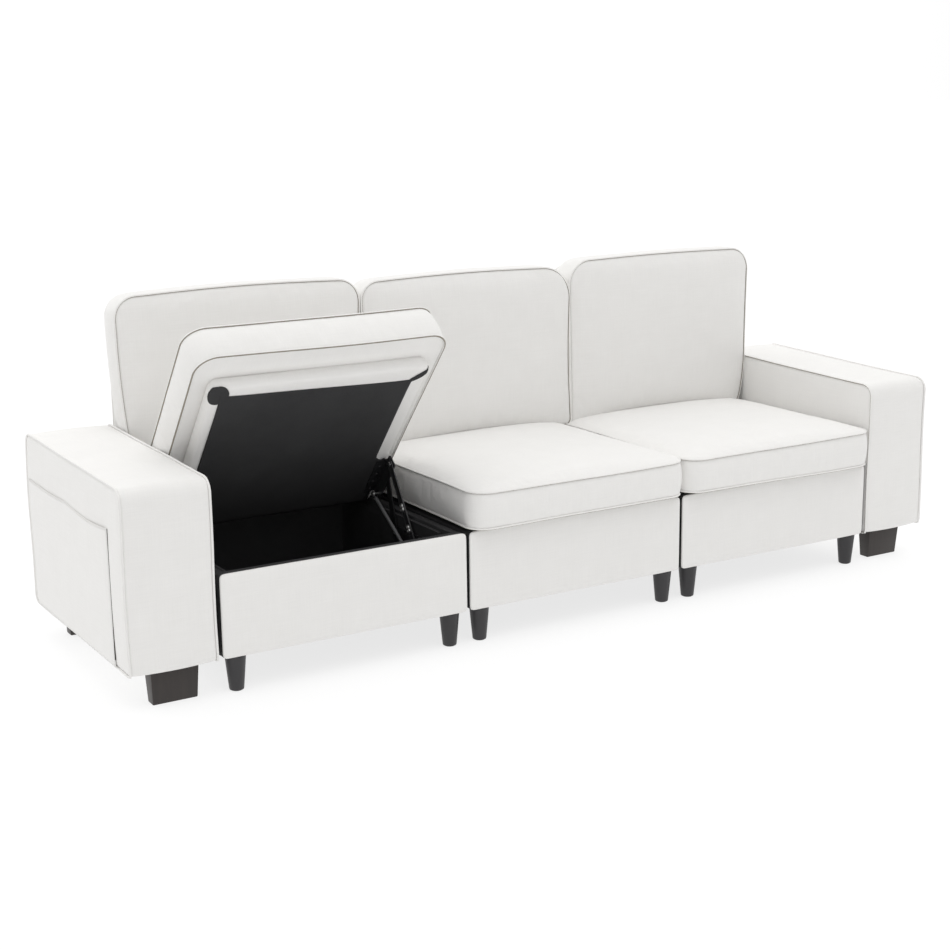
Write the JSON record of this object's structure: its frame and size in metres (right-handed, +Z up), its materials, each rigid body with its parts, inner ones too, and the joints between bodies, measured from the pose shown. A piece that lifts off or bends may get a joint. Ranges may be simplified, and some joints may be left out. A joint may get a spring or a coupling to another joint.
{
  "type": "modular sofa",
  "caption": "Modular sofa of armless seat units with lift-up seats over storage boxes, boxed cushions and separate arm units with side pockets.",
  "frame": {"origin": "on the floor, in the middle of the whole sofa", "axes": "+X along the sofa, to the right of someone who faces it; +Y from front to back; +Z up"},
  "size_m": [2.633, 0.7733, 0.935],
  "materials": {
    "cover_fabric": "ivory linen weave",
    "black_lining": "black non-woven",
    "lined_board": "board behind black non-woven lining",
    "wood": "sawn pine",
    "leg_plastic": "satin dark grey",
    "dark_wood": "dark stain",
    "black_steel": "black powder coat",
    "spring_steel": "grey sleeve over a steel spring",
    "zinc_steel": "zinc plated"
  },
  "bodies": {
    "root": {"left_front_panel": "cover_fabric", "left_side_walls": "lined_board", "left_rear_wall": "lined_board", "left_floor_board": "lined_board", "left_inner_battens": "wood", "left_legs": "leg_plastic", "left_hinge_plates": "black_steel", "left_back_frame": "cover_fabric", "left_back_cushion": "cover_fabric", "middle_front_panel": "cover_fabric", "middle_side_walls": "lined_board", "middle_rear_wall": "lined_board", "middle_floor_board": "lined_board", "middle_inner_battens": "wood", "middle_legs": "leg_plastic", "middle_hinge_plates": "black_steel", "middle_back_frame": "cover_fabric", "middle_back_cushion": "cover_fabric", "right_front_panel": "cover_fabric", "right_side_walls": "lined_board", "right_rear_wall": "lined_board", "right_floor_board": "lined_board", "right_inner_battens": "wood", "right_legs": "leg_plastic", "right_hinge_plates": "black_steel", "right_back_frame": "cover_fabric", "right_back_cushion": "cover_fabric", "left_arm_cover": "cover_fabric", "left_arm_frame": "wood", "left_block_legs": "dark_wood", "left_arm_pocket": "cover_fabric", "right_arm_cover": "cover_fabric", "right_arm_frame": "wood", "right_block_legs": "dark_wood", "right_arm_pocket": "cover_fabric", "connector_studs": "zinc_steel", "connector_keepers": "black_steel", "back_brackets": "black_steel"},
    "left_bars": {"left_lift_bars": "black_steel"},
    "left_lid": {"left_lid_board": "cover_fabric", "left_dust_cover": "black_lining", "left_seat_cushion": "cover_fabric", "left_lid_brackets": "black_steel"},
    "left_second_arms": {"left_second_arms": "black_steel"},
    "left_springs": {"left_lift_springs": "spring_steel"},
    "middle_bars": {"middle_lift_bars": "black_steel"},
    "middle_lid": {"middle_lid_board": "cover_fabric", "middle_dust_cover": "black_lining", "middle_seat_cushion": "cover_fabric", "middle_lid_brackets": "black_steel"},
    "middle_second_arms": {"middle_second_arms": "black_steel"},
    "middle_springs": {"middle_lift_springs": "spring_steel"},
    "right_bars": {"right_lift_bars": "black_steel"},
    "right_lid": {"right_lid_board": "cover_fabric", "right_dust_cover": "black_lining", "right_seat_cushion": "cover_fabric", "right_lid_brackets": "black_steel"},
    "right_second_arms": {"right_second_arms": "black_steel"},
    "right_springs": {"right_lift_springs": "spring_steel"}
  },
  "joints": [
    {"name": "left_bars_hinge", "type": "hinge", "parent": "root", "child": "left_bars", "pos_m": [-0.714, -0.1645, 0.242], "axis": [1, 0, 0], "range_deg": [-52.5, 0]},
    {"name": "left_lid_hinge", "type": "hinge", "parent": "left_bars", "child": "left_lid", "pos_m": [-0.714, -0.03485, 0.44629], "axis": [1, 0, 0], "range_deg": [0, 102.3]},
    {"name": "left_second_arms_hinge", "type": "hinge", "parent": "root", "child": "left_second_arms", "pos_m": [-0.714, -0.04484, 0.25216], "axis": [1, 0, 0], "range_deg": [-67.2, 0]},
    {"name": "left_springs_hinge", "type": "hinge", "parent": "root", "child": "left_springs", "pos_m": [-0.714, -0.152, 0.22], "axis": [1, 0, 0], "range_deg": [-26.35, 0], "deforming": ["left_lift_springs"]},
    {"name": "middle_bars_hinge", "type": "hinge", "parent": "root", "child": "middle_bars", "pos_m": [0, -0.1645, 0.242], "axis": [1, 0, 0], "range_deg": [0, 52.5]},
    {"name": "middle_lid_hinge", "type": "hinge", "parent": "middle_bars", "child": "middle_lid", "pos_m": [0, 0.0765, 0.2635], "axis": [1, 0, 0], "range_deg": [-102.3, 0]},
    {"name": "middle_second_arms_hinge", "type": "hinge", "parent": "root", "child": "middle_second_arms", "pos_m": [0, -0.04484, 0.25216], "axis": [1, 0, 0], "range_deg": [0, 67.2]},
    {"name": "middle_springs_hinge", "type": "hinge", "parent": "root", "child": "middle_springs", "pos_m": [0, -0.152, 0.22], "axis": [1, 0, 0], "range_deg": [0, 26.35], "deforming": ["middle_lift_springs"]},
    {"name": "right_bars_hinge", "type": "hinge", "parent": "root", "child": "right_bars", "pos_m": [0.714, -0.1645, 0.242], "axis": [1, 0, 0], "range_deg": [0, 52.5]},
    {"name": "right_lid_hinge", "type": "hinge", "parent": "right_bars", "child": "right_lid", "pos_m": [0.714, 0.0765, 0.2635], "axis": [1, 0, 0], "range_deg": [-102.3, 0]},
    {"name": "right_second_arms_hinge", "type": "hinge", "parent": "root", "child": "right_second_arms", "pos_m": [0.714, -0.04484, 0.25216], "axis": [1, 0, 0], "range_deg": [0, 67.2]},
    {"name": "right_springs_hinge", "type": "hinge", "parent": "root", "child": "right_springs", "pos_m": [0.714, -0.152, 0.22], "axis": [1, 0, 0], "range_deg": [0, 26.35], "deforming": ["right_lift_springs"]}
  ],
  "couplings": [
    {"joint": "left_lid_hinge", "follows": "left_bars_hinge", "ratio": -1.9486},
    {"joint": "left_second_arms_hinge", "follows": "left_bars_hinge", "ratio": 1.28},
    {"joint": "left_springs_hinge", "follows": "left_bars_hinge", "ratio": 0.50198},
    {"joint": "middle_lid_hinge", "follows": "middle_bars_hinge", "ratio": -1.9486},
    {"joint": "middle_second_arms_hinge", "follows": "middle_bars_hinge", "ratio": 1.28},
    {"joint": "middle_springs_hinge", "follows": "middle_bars_hinge", "ratio": 0.50198},
    {"joint": "right_lid_hinge", "follows": "right_bars_hinge", "ratio": -1.9486},
    {"joint": "right_second_arms_hinge", "follows": "right_bars_hinge", "ratio": 1.28},
    {"joint": "right_springs_hinge", "follows": "right_bars_hinge", "ratio": 0.50198}
  ]
}
